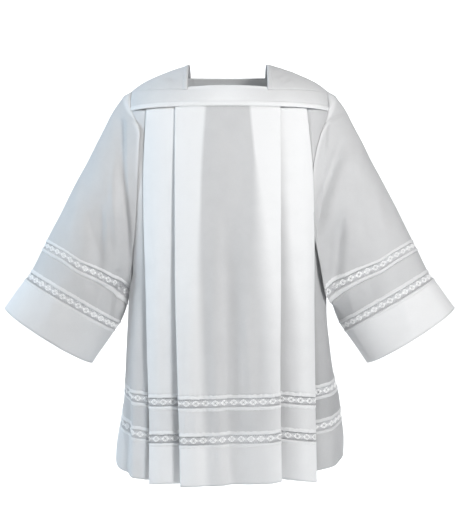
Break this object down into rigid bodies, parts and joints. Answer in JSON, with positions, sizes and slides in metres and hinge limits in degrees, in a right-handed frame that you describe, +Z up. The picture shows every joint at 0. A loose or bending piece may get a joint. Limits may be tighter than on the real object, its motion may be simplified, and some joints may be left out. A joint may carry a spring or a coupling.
{
  "type": "pleated surplice with lace insertions",
  "caption": "Thigh-length white surplice as worn and hollow: square neck, yoke, pressed pleats, wide sleeves, and lace insertions above hem and cuffs.",
  "frame": {"origin": "midway between the two points where the ridges of the shoulders meet the neck, where the garment rests on the wearer", "axes": "-Y is the front, +X is to the right seen from the front, +Z is up"},
  "size_m": [0.9508, 0.337, 0.8558],
  "materials": {
    "cloth": "fine plain-woven semi-sheer white cloth, soft dull sheen",
    "lace": "openwork white lace insertion between narrow raised borders"
  },
  "bodies": {
    "root": {"front_panel": "cloth", "front_lace_upper": "lace", "front_band": "cloth", "front_lace_lower": "lace", "front_hem": "cloth", "back_panel": "cloth", "back_lace_upper": "lace", "back_band": "cloth", "back_lace_lower": "lace", "back_hem": "cloth", "front_yoke": "cloth", "front_yoke_strip": "cloth", "back_yoke": "cloth", "back_yoke_strip": "cloth", "left_shoulder": "cloth", "left_neck_binding": "cloth", "left_sleeve": "cloth", "left_sleeve_lace_upper": "lace", "left_sleeve_band": "cloth", "left_sleeve_lace_lower": "lace", "left_sleeve_cuff": "cloth", "right_shoulder": "cloth", "right_neck_binding": "cloth", "right_sleeve": "cloth", "right_sleeve_lace_upper": "lace", "right_sleeve_band": "cloth", "right_sleeve_lace_lower": "lace", "right_sleeve_cuff": "cloth"}
  },
  "joints": []
}
